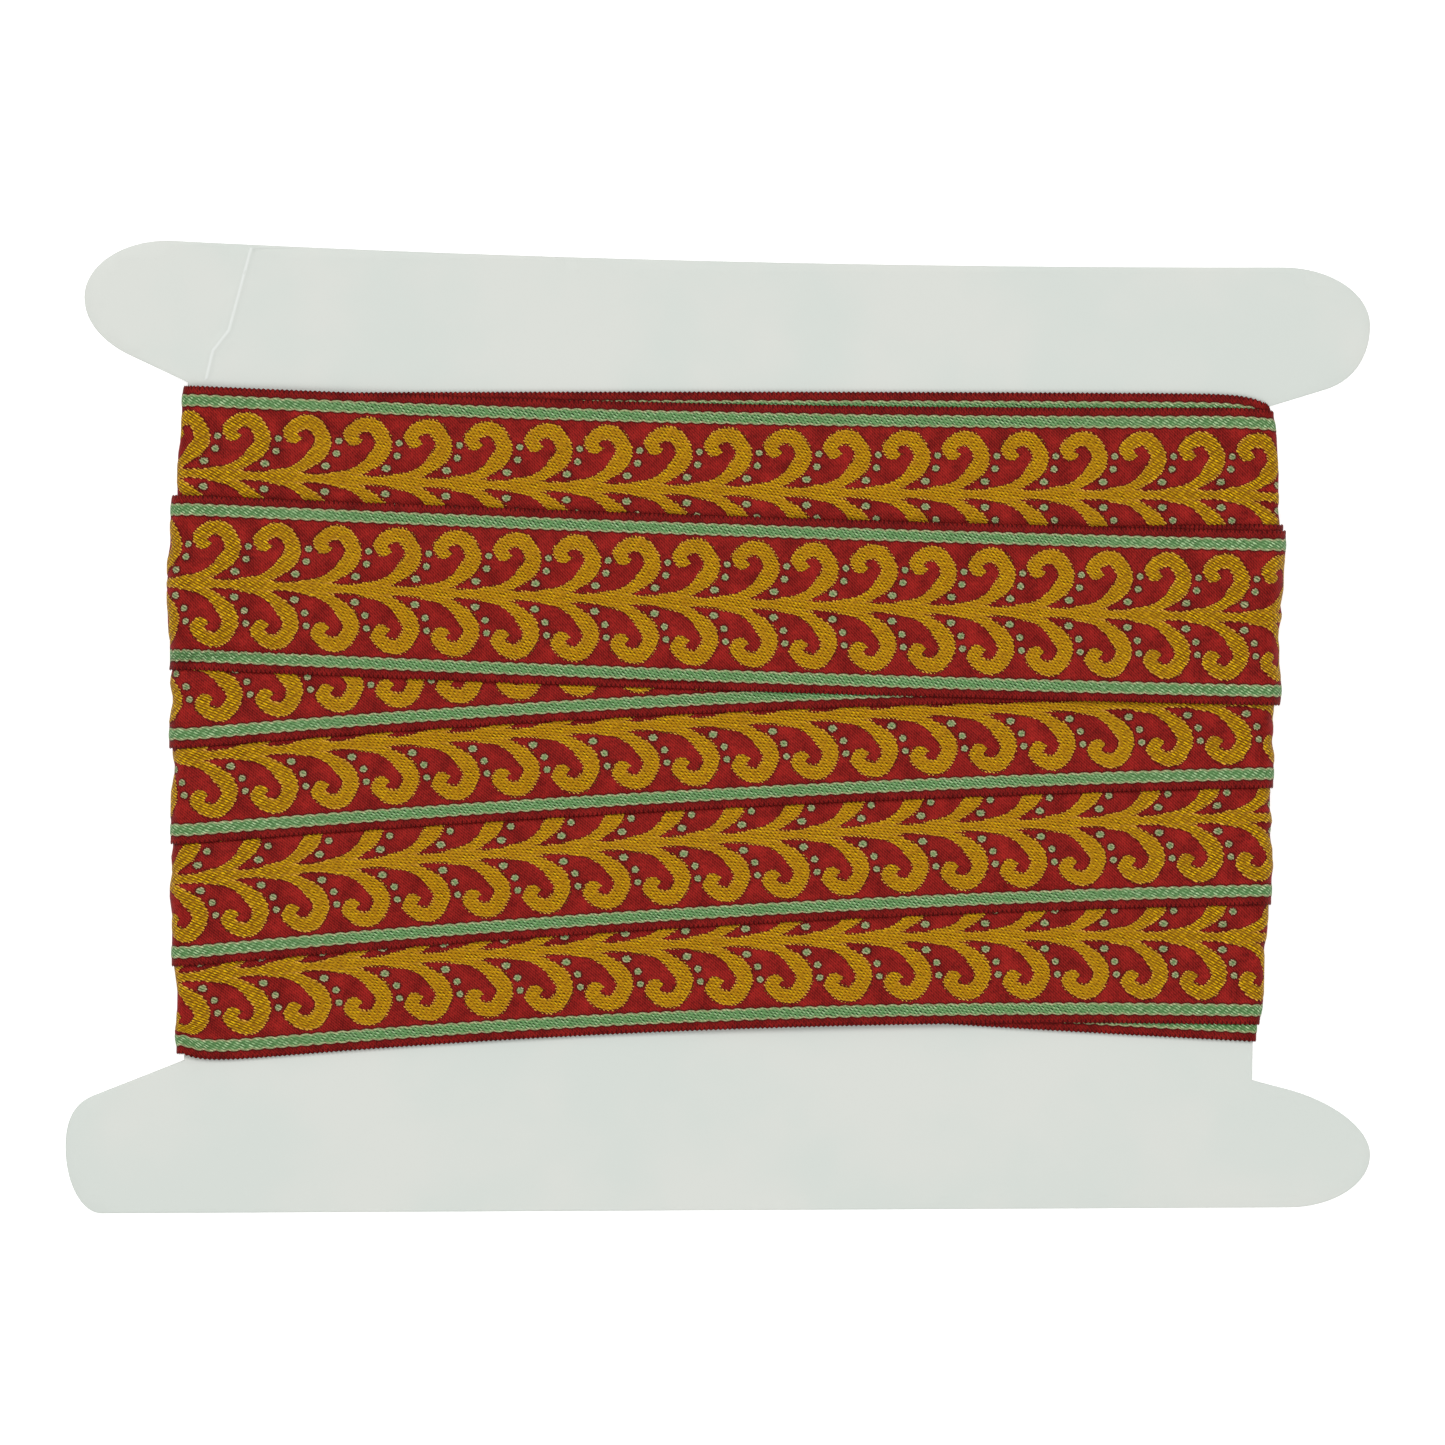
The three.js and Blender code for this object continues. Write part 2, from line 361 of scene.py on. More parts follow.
# The scroll: the angle at its eye in degrees, and the radii of its outer and its inner side there
SCROLL = [
    (-145, 9.0, 8.3), (-138, 7.8, 7.2), (-130, 6.8, 5.97), (-119, 5.9, 4.88),
    (-107, 5.4, 3.76), (-98, 4.98, 3.05), (-91, 4.72, 2.65), (-85, 4.42, 2.22),
    (-70, 4.06, 1.75), (-55, 3.92, 1.56), (-40, 3.83, 1.45), (-20, 3.71, 1.37),
    (0, 3.57, 1.25), (20, 3.33, 1.15), (40, 3.29, 1.12), (60, 3.38, 1.18),
    (80, 3.36, 1.28), (100, 3.3, 1.27), (120, 3.26, 1.28), (138, 3.26, 1.34),
    (150, 3.32, 1.32), (160, 3.38, 1.08), (170, 3.25, 0.75), (185, 2.76, 0.58),
    (195, 2.49, 0.66), (203, 2.07, 0.85), (208, 1.6, 1.3), (215, 1.2, 1.7),
]  # fmt: skip

# The vine: the place along it, and half its width there
VINE = [
    (-4.98, 0.95), (-4.0, 0.9), (-1.0, 0.82), (-0.3, 0.72), (0.1, 0.6),
    (1.0, 0.62), (2.0, 0.66), (2.9, 0.74), (3.52, 0.95),
]  # fmt: skip

# The dots: the place along the trim, the height, and half the length and half the height of the dot
DOTS = [
    (-4.06, 5.5, 0.56, 0.52),
    (-4.32, 3.67, 0.58, 0.54),
    (2.7, 1.83, 0.7, 0.55),
]
PETALS = dict(count=9, depth=0.035)  # the thread ends round each dot

# The rope stripe: the height of its middle, half its width between swellings, how much each swelling
# adds, how far apart they are, and how far the strands lean from the stripe's middle to the vine
STRIPE = dict(height=10.43, half_width=0.7, swell=0.19, step=REPEAT / 5, lag=0.35)
SKEW = 0.01  # how much the weft leans along the trim


def pattern(u, v):
    """How far inside the gold vine, the dots and the green stripes a point lies, below 0 outside them."""
    height = abs(v)
    x = wrap(u + v * SKEW, SCROLL_STARTS, REPEAT)
    across = x - EYE[0]
    up = height - EYE[1]
    radius = root(across * across + up * up)
    degrees, outer, inner = zip(*SCROLL)
    turned = wrap(angle(up, across), degrees[0], 360)
    scroll = least(
        charted(turned, degrees, outer) - radius,
        radius - charted(turned, degrees, inner),
    )
    vine = charted(x, *zip(*VINE)) - height
    dots = None
    for along, tall, half_length, half_height in DOTS:
        dx = (x - along) * (half_height / half_length)
        dy = height - tall
        petals = wave(angle(dy, dx) * (PETALS["count"] / 360)) * PETALS["depth"]
        dot = half_height + petals - root(dx * dx + dy * dy)
        dots = dot if dots is None else most(dots, dot)
    swelling = abs(wave((u + v * STRIPE["lag"] / STRIPE["height"]) / (2 * STRIPE["step"])))
    half_stripe = swelling * STRIPE["swell"] + STRIPE["half_width"]
    stripe = half_stripe - abs(height - STRIPE["height"])
    return most(scroll, vine), dots, stripe


# Materials

# base, each thread's own colour; light, the painted highlight on its threads, and on the red ground the
# lighter parts of its weave; dark, the painted shade in the gaps between threads, and on the red ground
# also the darker parts of its weave, its darker selvage and the painted shade between the selvage's loops
# and beside the raised pattern; and end, the pale thread ends along an edge, on the gold partly a
# painted highlight
GOLD = dict(
    base=srgb(172, 119, 0), light=srgb(240, 190, 12), dark=srgb(56, 24, 0), end=srgb(240, 178, 76)
)
GREEN = dict(
    base=srgb(100, 146, 88), light=srgb(184, 216, 162), dark=srgb(20, 48, 16), end=srgb(208, 190, 148)
)
RED = dict(base=srgb(144, 16, 10), light=srgb(180, 40, 34), dark=srgb(64, 0, 0))
# the board's own colours, and a paler one for the painted highlight along its crease
CARD_WHITE = dict(
    base=srgb(213, 219, 213), light=srgb(218, 221, 215), dark=srgb(194, 201, 195), crease_highlight=srgb(229, 233, 229)
)

# How the pattern's floats lie in rows: from row to row, how the rows fall to the right, the step from
# float to float, the shift from row to row as a share of it, and half the size of the painted highlight
# in a float's middle and of the painted shade in the gap between floats
FLOATS = dict(row=0.42, slope=0.14, step=0.58, shift=0.62, shine=(0.28, 0.15), gap=(0.29, 0.12))
ROPE = dict(row=0.4, slope=0.2, step=0.64, shift=0.55, shine=(0.33, 0.16), gap=(0.32, 0.12))
FLOAT_TURN = math.radians(28)  # how much steeper than the rows the single floats fall
JITTER = 0.25  # how far a float may lie from its place, as a share of the step and of the row

# Towards the card's edges slanting strokes take the place of the floats: the distance from the card's
# middle where they start and where they are alone, their rows, and the single threads in them
LONG_FLOATS = dict(start=46, full=70, row=0.42, slope=0.5, waver=0.25)
LONG_SPOTS = dict(row=LONG_FLOATS["row"], step=0.8, shift=0.62, half_size=(0.4, 0.19), turn=0)
# the dark of floats and strokes is painted shade in the gaps between threads
STROKES_ANYWHERE = 0.2  # the strokes' share of the dark in the middle of the card

# Spots: from which to which share of its half size one fades, what its half size is divided by, and
# the factors that turn its random share into others
SPOT_FADE = (0.3, 1.15)
SPOT_SHRINK = (0.85, 1.55)
SIDEWAYS_DRAW = 7
SIZE_DRAW = 13

# How dark the painted shade in the gaps and how bright the painted highlights on the threads are, where
# their random share is 0 and where it is 1
GAP_DARK = (0.85, 1.35)
THREAD_SHINE = (0.1, 1)
STROKE_SHINE = (0.25, 1.05)
ROW_GAP_DARK = (0.4, 0.9)
ROW_GAP = (0.22, 0.5)  # where the gap between two rows of strokes begins and is full
STROKE_GAP_DARK = 0.3  # between the strokes of a row

# The pattern's edges: how far floats push them out, how much less they do so towards the card's edges,
# how far gaps draw them in, how far an edge is set back, how ragged it is, and how softly it ends
GOLD_EDGE = dict(floats=0.26, less=0.1, gaps=0.14, back=0.035, ragged=0.08)
DOT_EDGE = dict(floats=0.08, back=0.11, ragged=0.12)
STRIPE_EDGE = dict(ragged=0.1)
SOFT_EDGE = (-0.05, 0.05)

# The red ground: from rib to rib and from one faint diagonal line to the next, what these, patches and
# fibres add to its light, between which sums it goes from dark to light, and how strongly
RIB = 0.24
TWILL = 0.46
WEAVE_LIGHT = dict(rib=0.1, twill=0.14, patches=0.7, grain=0.6, less=0.4)
GROUND_LIGHT = dict(reach=(-0.15, 0.75), share=0.85)
PATCHES = dict(scale=0.35, detail=2)
GRAIN = dict(scale=2.2, detail=3)

# The selvage: where it begins and is full, its dark threads, and the painted shade in the gaps between its
# loops
SELVAGE_PICK = 0.33
SELVAGE_SPOTS = dict(row=SELVAGE_PICK, step=0.9, shift=0.5, half_size=(0.3, 0.12), turn=0)
SELVAGE = dict(reach=(11.1, 11.6), dark=0.25, pick_dark=0.45)
LOOP_GAPS = dict(reach=(11.9, 12.3), wave=(-0.2, 0.9), dark=0.5)
SHADE = dict(reach=(-0.34, -0.06), dark=0.85)  # beside what stands above the ground

# How strongly fibres mottle the threads, how the painted highlights and the painted shade in the gaps
# show, and where and how strongly the pale thread ends show along an edge, on the gold partly a painted
# highlight
MOTTLE = 0.7
GOLD_LOOK = dict(patched=(0.3, 0.7), patches=0.1, gaps=0.85, mottle=0.5, rim=(0.08, 0.3), ends=(0.1, 0.9))
STRIPE_LOOK = dict(mottle=0.7, fewer_gaps=0.4, rim=(0.14, 0.34), ends=(0.32, 0.67))
DOT_LOOK = dict(shine=(0.1, 0.7), gaps=0.8, rim=(0.04, 0.34), ends=(0.3, 0.9))

# The threads' height: of floats, of bright threads and of gaps
GOLD_THREAD = (0.03, 0.03, 0.05)
ROPE_THREAD = (0.02, 0.03, 0.05)
HEIGHTS = dict(weave=0.006, raised=0.06, grain=0.02)
TRIM_FINISH = dict(rough=0.62, smoother=0.12, grain=0.1, specular=0.1)

# The board: soft clouds and fine fibres in its colour, a painted highlight along the ridge of its crease,
# its height and its finish
CLOUDS = dict(scale=0.05, detail=3)
FIBRES = dict(scale=3, detail=4)
CARD_LOOK = dict(light=(0.35, 0.65), dark=(0.62, 0.8), dark_share=0.12, crease_highlight=(0.55, 1))
CARD_FINISH = dict(fibre_height=0.01, cloud_height=0.05, rough=0.42, rougher=0.16, specular=0.3)


def new_material(name):
    material = bpy.data.materials.new(name)
    material.use_nodes = True
    tree = material.node_tree
    return material, tree, tree.nodes["Principled BSDF"]


MIX_FIRST, MIX_SECOND, MIX_RESULT = 6, 7, 2  # the places of the colour slots in a mixing node


def mix(tree, share, first, second):
    """A colour between two, each a colour or a socket."""
    inputs = {"Factor": share, MIX_FIRST: first, MIX_SECOND: second}
    return add_node(tree, "Mix", inputs, data_type="RGBA").outputs[MIX_RESULT]


def noise(tree, place, scale, detail):
    inputs = {"Scale": scale, "Detail": detail, "Vector": place}
    return Field(add_node(tree, "TexNoise", inputs).outputs["Fac"])


def chance(tree, first, second):
    """A random number for each pair of whole numbers."""
    pair = add_node(tree, "CombineXYZ", {"X": first, "Y": second})
    inputs = {"Vector": pair.outputs[0]}
    return Field(add_node(tree, "TexWhiteNoise", inputs, noise_dimensions="2D").outputs["Value"])


def spots(tree, u, q, row, step, shift, half_size, turn):
    """Long spots in rows, one at each step. q counts the rows. This returns how deep inside its spot a
    point lies, from 0 to 1, and the spot's random share."""
    line = whole(q)
    along = u / step + line * shift
    luck = chance(tree, line, whole(along))
    a = (rest(along) - 0.5 + (luck - 0.5) * JITTER) * step
    b = (rest(q) - 0.5 + (rest(luck * SIDEWAYS_DRAW) - 0.5) * JITTER) * row
    long_way = (a * math.cos(turn) - b * math.sin(turn)) / half_size[0]
    short_way = (a * math.sin(turn) + b * math.cos(turn)) / half_size[1]
    away = root(long_way * long_way + short_way * short_way)
    away = away * blend(rest(luck * SIZE_DRAW), *SPOT_SHRINK)
    return 1 - ease(away, *SPOT_FADE), luck


def stitches(tree, u, v, opened, grain, row, slope, step, shift, shine, gap):
    """The look of a field of floats: the painted shade in the gaps between them, the painted highlight on
    the thread, and how high it stands. opened is the share of the long strokes that take their place."""
    q = (v + u * slope) / row
    dark, dark_luck = spots(tree, u, q, row, step, shift, gap, FLOAT_TURN)
    bright, bright_luck = spots(tree, u, q + 0.5, row, step, shift, shine, FLOAT_TURN)
    stroke_row = (v + u * LONG_FLOATS["slope"] + grain * LONG_FLOATS["waver"]) / LONG_FLOATS["row"]
    stroke, luck = spots(tree, u, stroke_row, **LONG_SPOTS)
    between = ease(abs(rest(stroke_row) - 0.5), *ROW_GAP)
    stroke_dark = between * blend(luck, *ROW_GAP_DARK) + (1 - stroke) * STROKE_GAP_DARK
    return (
        blend(blend(opened, STROKES_ANYWHERE, 1), dark * blend(dark_luck, *GAP_DARK), stroke_dark),
        blend(opened, bright * blend(bright_luck, *THREAD_SHINE), stroke * blend(luck, *STROKE_SHINE)),
        blend(opened, bright, stroke),
    )


def edge_rim(inside, thread, look):
    """How strongly the pale thread ends show at an edge, from how far inside it a point lies. On the gold
    they are partly a painted highlight.
    """
    return (1 - ease(inside, *look["rim"])) * blend(thread, *look["ends"])


def thread_height(high, bright, dark, sizes):
    return high * sizes[0] + bright * sizes[1] - dark * sizes[2]


def add_bump(tree, height, shader):
    """Give a surface its fine relief, from a height in millimetres."""
    bump = add_node(tree, "Bump", {"Distance": MM, "Strength": 1, "Height": height})
    connect(bump.outputs[0], shader.inputs["Normal"])


def trim_material():
    material, tree, shader = new_material("woven_trim")
    place = add_node(tree, "UVMap", uv_map="TrimPlace").outputs[0]
    u, v, _ = map(Field, add_node(tree, "SeparateXYZ", {0: place}).outputs)
    where = add_node(tree, "TexCoord").outputs["Object"]
    x, _, _ = map(Field, add_node(tree, "SeparateXYZ", {0: where}).outputs)
    opened = ease(abs(x) / MM, LONG_FLOATS["start"], LONG_FLOATS["full"])
    patches = noise(tree, place, **PATCHES)
    grain = noise(tree, place, **GRAIN)
    gold_dark, gold_bright, gold_high = stitches(tree, u, v, opened, grain, **FLOATS)
    rope_dark, rope_bright, rope_high = stitches(tree, u, v, opened, grain, **ROPE)

    gold, dots, stripe = pattern(u, v)
    gold = gold + gold_high * (GOLD_EDGE["floats"] - opened * GOLD_EDGE["less"])
    gold = gold - gold_dark * GOLD_EDGE["gaps"] - GOLD_EDGE["back"] + (grain - 0.5) * GOLD_EDGE["ragged"]
    dots = dots + rope_high * DOT_EDGE["floats"] - DOT_EDGE["back"] + (grain - 0.5) * DOT_EDGE["ragged"]
    stripe = stripe + (grain - 0.5) * STRIPE_EDGE["ragged"]
    gold_share, dot_share, stripe_share = (ease(inside, *SOFT_EDGE) for inside in (gold, dots, stripe))

    # the red ground, its selvages with painted shade between their loops, and the painted shade beside the
    # pattern
    ribs = wave(u / RIB)
    twill = wave((u + v) / TWILL)
    light = ribs * WEAVE_LIGHT["rib"] + twill * WEAVE_LIGHT["twill"] + patches * WEAVE_LIGHT["patches"]
    light = light + grain * WEAVE_LIGHT["grain"] - WEAVE_LIGHT["less"]
    ground = mix(tree, ease(light, *GROUND_LIGHT["reach"]), RED["dark"], RED["light"])
    ground = mix(tree, GROUND_LIGHT["share"], RED["base"], ground)
    selvage = ease(abs(v), *SELVAGE["reach"])
    picks, _ = spots(tree, v, u / SELVAGE_PICK, **SELVAGE_SPOTS)
    loop_gaps = ease(abs(v), *LOOP_GAPS["reach"]) * ease(wave(u / (SELVAGE_PICK * 2)), *LOOP_GAPS["wave"])
    selvage_dark = selvage * (picks * SELVAGE["pick_dark"] + SELVAGE["dark"]) + loop_gaps * LOOP_GAPS["dark"]
    ground = mix(tree, selvage_dark, ground, RED["dark"])
    nearest = most(most(gold, dots), stripe)
    ground = mix(tree, ease(nearest, *SHADE["reach"]) * SHADE["dark"], ground, RED["dark"])

    mottle = (grain - 0.5) * MOTTLE
    # the gold: painted highlights on its threads, painted shade in the gaps between them, and pale thread
    # ends at its edge, partly a painted highlight
    gold_light = gold_bright + mottle + ease(patches, *GOLD_LOOK["patched"]) * GOLD_LOOK["patches"]
    gold_colour = mix(tree, gold_light, GOLD["base"], GOLD["light"])
    gold_gaps = most(gold_dark * GOLD_LOOK["gaps"] - mottle * GOLD_LOOK["mottle"], 0)
    gold_colour = mix(tree, gold_gaps, gold_colour, GOLD["dark"])
    gold_colour = mix(tree, edge_rim(gold, gold_high, GOLD_LOOK), gold_colour, GOLD["end"])
    # the green stripes: painted highlights on their threads, painted shade in the gaps, pale thread ends at
    # the edge
    green_colour = mix(tree, rope_bright + mottle * STRIPE_LOOK["mottle"], GREEN["base"], GREEN["light"])
    green_gaps = rope_dark * (1 - opened * STRIPE_LOOK["fewer_gaps"])
    green_colour = mix(tree, green_gaps, green_colour, GREEN["dark"])
    green_colour = mix(tree, edge_rim(stripe, rope_high, STRIPE_LOOK), green_colour, GREEN["end"])
    # the dots: paler towards their painted highlights, with painted shade in their gaps and pale thread ends
    # at the rim
    dot_colour = mix(tree, blend(rope_bright, *DOT_LOOK["shine"]), GREEN["base"], GREEN["end"])
    dot_colour = mix(tree, rope_dark * DOT_LOOK["gaps"], dot_colour, GREEN["dark"])
    dot_colour = mix(tree, edge_rim(dots, rope_high, DOT_LOOK), dot_colour, GREEN["end"])

    colour = mix(tree, gold_share, ground, gold_colour)
    colour = mix(tree, dot_share, colour, dot_colour)
    colour = mix(tree, stripe_share, colour, green_colour)

    raised = most(most(gold_share, dot_share), stripe_share)
    gold_thread = thread_height(gold_high, gold_bright, gold_dark, GOLD_THREAD)
    rope_thread = thread_height(rope_high, rope_bright, rope_dark, ROPE_THREAD)
    thread = gold_thread * most(gold_share, dot_share) + rope_thread * stripe_share
    weave = (ribs * HEIGHTS["weave"] + twill * HEIGHTS["weave"]) * (1 - raised)
    add_bump(tree, thread + raised * HEIGHTS["raised"] + weave + grain * HEIGHTS["grain"], shader)
    roughness = TRIM_FINISH["rough"] - raised * TRIM_FINISH["smoother"] + grain * TRIM_FINISH["grain"]
    finish = {"Base Color": colour, "Roughness": roughness, "Specular IOR Level": TRIM_FINISH["specular"]}
    fill(shader, finish)
    return material


def card_material():
    material, tree, shader = new_material("card_board")
    where = add_node(tree, "TexCoord").outputs["Object"]
    place = add_node(tree, "VectorMath", {0: where, "Scale": 1 / MM}, operation="SCALE").outputs[0]
    clouds = noise(tree, place, **CLOUDS)
    fibres = noise(tree, place, **FIBRES)
    colour = mix(tree, ease(clouds, *CARD_LOOK["light"]), CARD_WHITE["base"], CARD_WHITE["light"])
    specks = ease(fibres, *CARD_LOOK["dark"]) * CARD_LOOK["dark_share"]
    colour = mix(tree, specks, colour, CARD_WHITE["dark"])
    # a painted highlight along the crease's ridge, strongest where the crease lifts the board most
    crease_highlight = Field(add_node(tree, "Attribute", attribute_name="crease_highlight").outputs["Fac"])
    colour = mix(tree, ease(crease_highlight, *CARD_LOOK["crease_highlight"]), colour, CARD_WHITE["crease_highlight"])
    add_bump(tree, fibres * CARD_FINISH["fibre_height"] + clouds * CARD_FINISH["cloud_height"], shader)
    roughness = CARD_FINISH["rough"] + fibres * CARD_FINISH["rougher"]
    finish = {"Base Color": colour, "Roughness": roughness, "Specular IOR Level": CARD_FINISH["specular"]}
    fill(shader, finish)
    return material


# The card: its outline, within a millimetre of the part's source, its slightly rounded edges, and the
# crease that crosses its upper left wing

WINGS = dict(
    bottom_right=dict(edge=(81.7, -68.75), tip=(93.4, -61.2), inner=(81.5, -51.8), waist=(76.5, -50.5)),
    top_right=dict(edge=(80.9, 65.85), tip=(93.4, 57.5), inner=(87.0, 48.35), waist=(77.95, 45.6)),
    top_left=dict(edge=(-78.8, 69.7), tip=(-90.7, 61.6), inner=(-84.0, 53.2), waist=(-75.9, 49.4)),
    bottom_left=dict(edge=(-88.2, -69.6), tip=(-93.4, -60.1), inner=(-89.4, -52.7), waist=(-76.4, -47.6)),
)
TOP_EDGE_BOW = (-2.5, 65.75)
ROUND = 0.5523  # the handle that makes a curve a quarter of an ellipse
INNER_HANDLE = 0.42  # the same on the wing's inner side, which is less round
CURVE_STEPS = 16
GRID = dict(reach=(92, 69), step=2)  # the points inside the board
RIM_GAP = 0.5  # how far they keep from its rim
SAME_POINT = 1e-4  # points this close are one
EDGE_RADIUS = 0.22
EDGE_DEGREES = (45, 0)
CREASE = [(-66.8, 68.6), (-70.0, 56.8), (-72.3, 53.9), (-73.3, 49.6)]
CREASE_HEIGHT = 0.22
CREASE_HALF_WIDTH = 0.38
CREASE_STEP = 0.8
BESIDE_CREASE = (-1.3, -0.8, -0.45, -0.2, 0, 0.2, 0.45, 0.8, 1.3)
SHARPEST_CORNER = 0.5  # the cosine of half of it, where the outline is moved inwards
CARD_BAKE = dict(shift=95, size=400, bottom=0.4)


def bezier(*handles):
    """Points along a Bezier curve, without its last one."""
    t = np.linspace(0, 1, CURVE_STEPS, endpoint=False)[:, None]
    points = [np.array(h, float) for h in handles]
    while len(points) > 1:
        points = [a * (1 - t) + b * t for a, b in zip(points, points[1:])]
    return points[0]


def wing_round(edge, tip, inner, waist):
    """From a wing's outer edge round its tip and in to the waist."""
    edge, tip, inner, waist = (np.array(p, float) for p in (edge, tip, inner, waist))
    rise = tip[1] - edge[1]
    span = INNER_HANDLE * np.linalg.norm(tip - inner)
    along = (inner - waist) / np.linalg.norm(inner - waist)
    beyond_edge = (edge[0] + ROUND * (tip[0] - edge[0]), edge[1])
    before_tip = (tip[0], tip[1] - ROUND * rise)
    beyond_tip = (tip[0], tip[1] + INNER_HANDLE * (inner[1] - tip[1]))
    outside = bezier(edge, beyond_edge, before_tip, tip)
    inside = bezier(tip, beyond_tip, inner + span * along, inner)
    return np.vstack([outside, inside, inner, waist])


def card_outline():
    """The outline, anticlockwise from the lower left."""
    top_edge = bezier(WINGS["top_right"]["edge"], TOP_EDGE_BOW, WINGS["top_left"]["edge"])[1:]
    rounds = {name: wing_round(**wing) for name, wing in WINGS.items()}
    right = [rounds["bottom_right"], rounds["top_right"][::-1]]
    return np.vstack([*right, top_edge, rounds["top_left"], rounds["bottom_left"][::-1]])


def crease_height(points):
    """How far the crease lifts the board: a soft ridge along it."""
    line = np.array(CREASE)
    nearest = np.full(len(points), np.inf)
    for start, end in zip(line, line[1:]):
        along = end - start
        share = np.clip(((points - start) @ along) / (along @ along), 0, 1)
        nearest = np.minimum(nearest, np.linalg.norm(points - start - share[:, None] * along, axis=1))
    return CREASE_HEIGHT * np.exp(-((nearest / CREASE_HALF_WIDTH) ** 2))


def inset(outline, distance):
    """The outline moved inwards by a distance."""
    ahead = np.roll(outline, -1, 0) - outline
    behind = outline - np.roll(outline, 1, 0)
    ahead /= np.linalg.norm(ahead, axis=1)[:, None]
    behind /= np.linalg.norm(behind, axis=1)[:, None]
    inward = np.stack([-(ahead + behind)[:, 1], (ahead + behind)[:, 0]], 1)
    inward /= np.linalg.norm(inward, axis=1)[:, None]
    cosine = (inward * np.stack([-ahead[:, 1], ahead[:, 0]], 1)).sum(1)
    return outline + inward * (distance / np.clip(cosine, SHARPEST_CORNER, 1))[:, None]


def points_inside(rim):
    """A grid over the board, with closer points beside the crease, all clear of the rim."""
    far_x, far_y = GRID["reach"]
    xs = np.arange(-far_x, far_x + 1, GRID["step"])
    ys = np.arange(-far_y, far_y + 1, GRID["step"])
    points = [(x, y) for y in ys for x in xs]
    line = np.array(CREASE)
    for start, end in zip(line, line[1:]):
        length = np.linalg.norm(end - start)
        normal = np.array([-(end - start)[1], (end - start)[0]]) / length
        for share in np.arange(0, 1, CREASE_STEP / length):
            points += [start + share * (end - start) + off * normal for off in BESIDE_CREASE]
    points = np.array(points, float)
    gaps = np.linalg.norm(points[:, None] - rim[None], axis=2).min(1)
    return points[gaps > RIM_GAP]


def build_card(material):
    outline = card_outline()
    rim = inset(outline, EDGE_RADIUS)
    count = len(rim)
    flat = [Vector(p) for p in np.vstack([rim, points_inside(rim)])]
    ring = [(i, (i + 1) % count) for i in range(count)]
    places, _, triangles, *_ = delaunay_2d_cdt(flat, ring, [], 1, SAME_POINT)
    face = np.array(places)
    triangles = np.array([t[:] for t in triangles])
    lift = crease_height(face)
    top = np.column_stack([face, CARD_BACK + CARD_THICKNESS + lift])
    bottom = np.column_stack([face, CARD_BACK + lift])

    # the rounded edge, from the top's rim down to the bottom's
    rings = []
    edge_lift = crease_height(outline)
    for degrees in EDGE_DEGREES:
        out = EDGE_RADIUS * math.cos(math.radians(degrees))
        down = EDGE_RADIUS * (1 - math.sin(math.radians(degrees)))
        place = inset(outline, EDGE_RADIUS - out)
        rings.append(np.column_stack([place, CARD_BACK + CARD_THICKNESS - down + edge_lift]))
    both_faces = 2 * (CARD_MIDDLE + edge_lift)
    rings += [np.column_stack([upper[:, :2], both_faces - upper[:, 2]]) for upper in rings[::-1]]
    points = np.vstack([top, bottom, *rings])
    size = len(face)
    starts = [0, *(2 * size + i * count for i in range(len(rings))), size]
    edge = np.arange(count)
    follow = (edge + 1) % count
    sides = []
    for above, below in zip(starts, starts[1:]):
        sides.append(np.column_stack([below + edge, below + follow, above + follow, above + edge]))
    faces = [triangles, triangles[:, ::-1] + size, np.vstack(sides)]
    mesh = mesh_from("winding_card_board", points, faces)

    # top and bottom laid out apart for baking
    corners = np.concatenate([f.ravel() for f in faces])
    bake = (points[corners][:, :2] + CARD_BAKE["shift"]) / CARD_BAKE["size"]
    on_bottom = (corners >= size) & (corners < 2 * size)
    bake[on_bottom, 1] += CARD_BAKE["bottom"]
    add_uv(mesh, "OFBake", bake)
    # how high the crease lifts each point, which sets the painted highlight along its ridge
    crease_highlight = mesh.attributes.new("crease_highlight", "FLOAT", "POINT")
    crease_highlight.data.foreach_set("value", (crease_height(points[:, :2]) / CREASE_HEIGHT).astype(np.float32))
    mesh.materials.append(material)
    card = add_object("winding_card_board", mesh)
    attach(card, "root")
    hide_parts("winding_card")


# How the trim lies. Each face of the card has a map of how deep the cloth lies so far, in columns
# from one edge of the waist to the other. The columns at the edges serve both faces.

FIELD_COLUMNS = FACE_COLUMNS[FINE]
CELL = 0.1
REACH = 60
LEVELS = np.arange(-REACH, REACH + CELL / 2, CELL)
HALF = TRIM_WIDTH / 2
SAMPLES = np.linspace(-HALF, HALF, 251)
SHARES = np.linspace(0, 1, FIELD_COLUMNS)
STEEPEST_ALONG = 0.03
SOFTENED = dict(along=6, across=5)  # over how many columns and samples a strap's underside is evened
front_depth = np.full((FIELD_COLUMNS, len(LEVELS)), float(CLEARANCE))
back_depth = np.full((FIELD_COLUMNS, len(LEVELS)), float(CLEARANCE))


def late_drop(strap, s):
    """How far a strap has fallen below its curve at a share s of its run over the face."""
    return strap.get("late_drop", 0) * ON_FACE * np.exp((s - 1) / LATE)


def front_line(strap, s):
    """The Y of a front strap's middle line: a parabola through its three charted places."""
    right = strap["right"] + strap.get("late_drop", 0)
    line = strap["left"] * (1 - s) * (1 - 2 * s) + strap["middle"] * 4 * s * (1 - s) + right * s * (2 * s - 1)
    return line - late_drop(strap, s)


def slope_at_left(strap):
    return -3 * strap["left"] + 4 * strap["middle"] - strap["right"]


def slope_at_right(strap):
    return strap["left"] - 4 * strap["middle"] + 3 * strap["right"]


